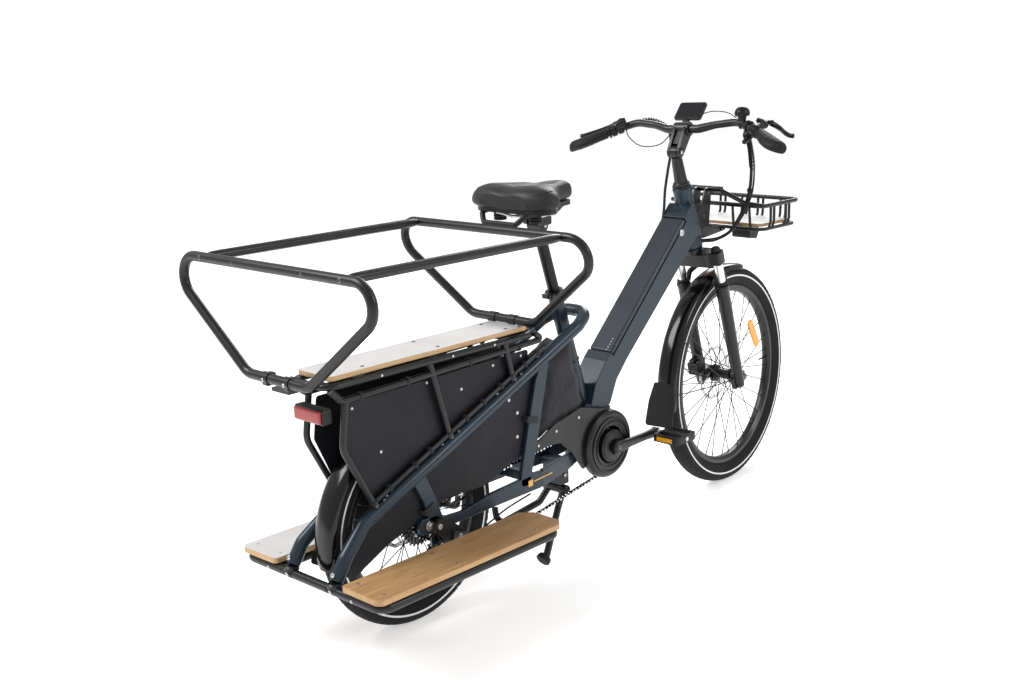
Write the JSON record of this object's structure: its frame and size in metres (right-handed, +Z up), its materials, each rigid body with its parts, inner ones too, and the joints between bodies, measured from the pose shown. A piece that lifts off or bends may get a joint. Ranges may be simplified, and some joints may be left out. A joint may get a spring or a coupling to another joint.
{
  "type": "cargo bicycle",
  "caption": "Longtail electric cargo bicycle with a caged rear rack, wooden deck and footboards, a front basket, suspension fork, motor, battery and two-legged stand.",
  "frame": {"origin": "on the ground, in the middle of the length and width", "axes": "+Y towards the front wheel, +Z up, +X to the rider's right, the chain side"},
  "size_m": [0.7193, 2.0275, 1.1783],
  "materials": {
    "frame_paint": "satin dark blue-grey",
    "black_paint": "satin black",
    "gloss_black": "gloss black",
    "black_plastic": "matte black",
    "panel_sheet": "matte black sheet",
    "bag_fabric": "coated black fabric",
    "rubber": "matte black rubber",
    "tyre": "matte black with pale side stripe",
    "bamboo": "clear matte lacquer over laminated bamboo",
    "steel": "satin steel",
    "red_lens": "clear red lens",
    "vinyl": "grained black vinyl"
  },
  "bodies": {
    "frame": {"front_frame": "frame_paint", "side_rails": "frame_paint", "stays": "frame_paint", "motor_housing": "black_plastic", "chain_cover": "black_plastic", "rack_frame": "black_paint", "deck_board": "bamboo", "rear_hoop": "black_paint", "front_hoop": "black_paint", "cage_rail_left": "black_paint", "cage_rail_right": "black_paint", "side_panel_left": "panel_sheet", "side_panel_right": "panel_sheet", "wheel_skirt_left": "panel_sheet", "wheel_skirt_right": "panel_sheet", "frame_bag": "bag_fabric", "rear_mudguard": "gloss_black", "rear_light": "red_lens", "footboard_frame": "black_paint", "footboard_left": "bamboo", "footboard_right": "bamboo", "basket_frame": "black_paint", "basket_board": "bamboo", "front_light": "black_plastic", "chain": "steel", "derailleur_body": "black_paint", "seat_collar": "black_paint"},
    "battery": {"battery": "frame_paint"},
    "seat": {"seatpost": "black_paint", "saddle": "vinyl"},
    "seat_lever": {"seat_lever": "black_paint"},
    "steering": {"fork_crown": "black_paint", "stem": "black_paint", "cable_bundle": "rubber"},
    "cockpit": {"stem_head": "black_paint", "handlebar": "black_paint", "grip_left": "rubber", "grip_right": "rubber", "display": "black_plastic", "lever_body_left": "black_paint", "lever_body_right": "black_paint", "control_pad": "black_plastic", "shifter": "black_plastic", "bell": "black_paint"},
    "brake_lever_left": {"brake_lever_left": "black_paint"},
    "brake_lever_right": {"brake_lever_right": "black_paint"},
    "control_button": {"control_button": "rubber"},
    "shift_paddle": {"shift_paddle": "black_plastic"},
    "fork_lowers": {"fork_lowers": "black_paint", "front_mudguard": "gloss_black"},
    "front_wheel": {"front_tyre": "tyre", "front_wheel": "black_paint"},
    "rear_wheel": {"rear_tyre": "tyre", "rear_wheel": "black_paint"},
    "cassette": {"cassette": "steel"},
    "crank": {"crankset": "black_paint"},
    "pedal_left": {"pedal_left": "black_plastic"},
    "pedal_right": {"pedal_right": "black_plastic"},
    "derailleur_cage": {"derailleur_cage": "black_paint"},
    "kickstand": {"kickstand": "black_paint"}
  },
  "joints": [
    {"name": "steering", "type": "hinge", "parent": "frame", "child": "steering", "pos_m": [0, 0.449, 0.941], "axis": [0, -0.2924, 0.9563], "range_deg": [-44.5, 35.5], "deforming": ["cable_bundle"]},
    {"name": "fork_travel", "type": "slide", "parent": "steering", "child": "fork_lowers", "axis": [0, -0.2924, 0.9563], "range_m": [0, 0.05], "stiffness_N_per_m": 6000, "springref_m": -0.05},
    {"name": "front_wheel_spin", "type": "hinge", "parent": "fork_lowers", "child": "front_wheel", "pos_m": [-0.00345, 0.67987, 0.33596], "axis": [0.9969, 0.075, 0.0229], "continuous": true},
    {"name": "rear_wheel_spin", "type": "hinge", "parent": "frame", "child": "rear_wheel", "pos_m": [0, -0.652, 0.258], "axis": [1, 0, 0], "continuous": true},
    {"name": "bar_angle", "type": "hinge", "parent": "steering", "child": "cockpit", "pos_m": [0, 0.4178, 1.0429], "axis": [0.9969, 0.075, 0.0229], "range_deg": [-15, 30]},
    {"name": "brake_pull_right", "type": "hinge", "parent": "cockpit", "child": "brake_lever_right", "pos_m": [0.24767, 0.5186, 1.12495], "axis": [0.0229, 0.0009, -0.9997], "range_deg": [0, 12], "stiffness_Nm_per_rad": 0.3, "springref_deg": -17.19},
    {"name": "brake_pull_left", "type": "hinge", "parent": "cockpit", "child": "brake_lever_left", "pos_m": [-0.26345, 0.48013, 1.11319], "axis": [-0.0229, -0.0009, 0.9997], "range_deg": [0, 12], "stiffness_Nm_per_rad": 0.3, "springref_deg": -17.19},
    {"name": "button_press", "type": "slide", "parent": "cockpit", "child": "control_button", "axis": [0.0229, 0.0009, -0.9997], "range_m": [0, 0.003], "stiffness_N_per_m": 100, "springref_m": -0.003},
    {"name": "shift_press", "type": "hinge", "parent": "cockpit", "child": "shift_paddle", "pos_m": [0.20529, 0.46884, 1.07964], "axis": [0.3106, -0.6864, -0.6576], "range_deg": [0, 18], "stiffness_Nm_per_rad": 0.05, "springref_deg": -17.19},
    {"name": "battery_release", "type": "slide", "parent": "frame", "child": "battery", "axis": [0, -0.6964, 0.7177], "range_m": [0, 0.1]},
    {"name": "seat_height", "type": "slide", "parent": "frame", "child": "seat", "axis": [0, -0.303, 0.953], "range_m": [-0.1, 0.08]},
    {"name": "seat_clamp", "type": "hinge", "parent": "frame", "child": "seat_lever", "pos_m": [0.019, -0.14, 0.719], "axis": [0, 0.303, -0.953], "range_deg": [0, 150]},
    {"name": "crank_spin", "type": "hinge", "parent": "frame", "child": "crank", "pos_m": [0, 0.026, 0.2845], "axis": [1, 0, 0], "continuous": true},
    {"name": "pedal_spin_right", "type": "hinge", "parent": "crank", "child": "pedal_right", "pos_m": [0.12, 0.191, 0.2875], "axis": [1, 0, 0], "continuous": true},
    {"name": "pedal_spin_left", "type": "hinge", "parent": "crank", "child": "pedal_left", "pos_m": [-0.12, -0.139, 0.2815], "axis": [1, 0, 0], "continuous": true},
    {"name": "cassette_spin", "type": "hinge", "parent": "frame", "child": "cassette", "pos_m": [0, -0.652, 0.258], "axis": [1, 0, 0], "continuous": true},
    {"name": "chain_tension", "type": "hinge", "parent": "frame", "child": "derailleur_cage", "pos_m": [0.05, -0.622, 0.188], "axis": [1, 0, 0], "range_deg": [0, 20], "stiffness_Nm_per_rad": 0.3, "springref_deg": -28.65, "deforming": ["chain"]},
    {"name": "stand_fold", "type": "hinge", "parent": "frame", "child": "kickstand", "pos_m": [0, -0.122, 0.19], "axis": [1, 0, 0], "range_deg": [0, 97]}
  ],
  "couplings": [
    {"joint": "cassette_spin", "follows": "crank_spin", "ratio": 2.2647}
  ]
}
